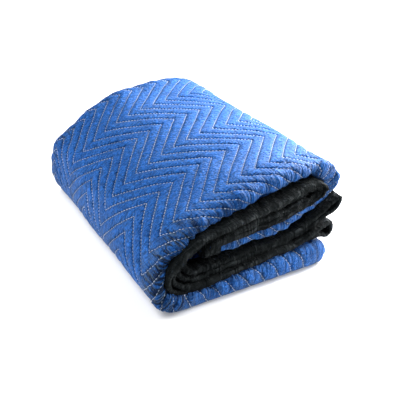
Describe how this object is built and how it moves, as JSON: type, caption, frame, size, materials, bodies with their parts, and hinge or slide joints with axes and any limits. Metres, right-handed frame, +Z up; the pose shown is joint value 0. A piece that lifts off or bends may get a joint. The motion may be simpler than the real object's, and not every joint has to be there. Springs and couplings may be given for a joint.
{
  "type": "folded moving blanket",
  "caption": "Quilted moving blanket with bound edges, folded into a flat rolled bundle that lies on a surface.",
  "frame": {"origin": "middle of the folded bundle's footprint, on the surface that it lies on", "axes": "+Z up; +Y along the bundle's length, away from the end where its bound edges show; +X towards the end of the roll where the layers part"},
  "size_m": [0.3591, 0.4676, 0.1766],
  "materials": {
    "quilted_blue_fabric": "soft nonwoven, matt",
    "black_woven_tape": "woven, slightly shiny"
  },
  "bodies": {
    "root": {"quilted_cloth": "quilted_blue_fabric", "long_edge_tape_one": "black_woven_tape", "long_edge_tape_two": "black_woven_tape", "end_tape_outer": "black_woven_tape", "end_tape_inner": "black_woven_tape"}
  },
  "joints": []
}
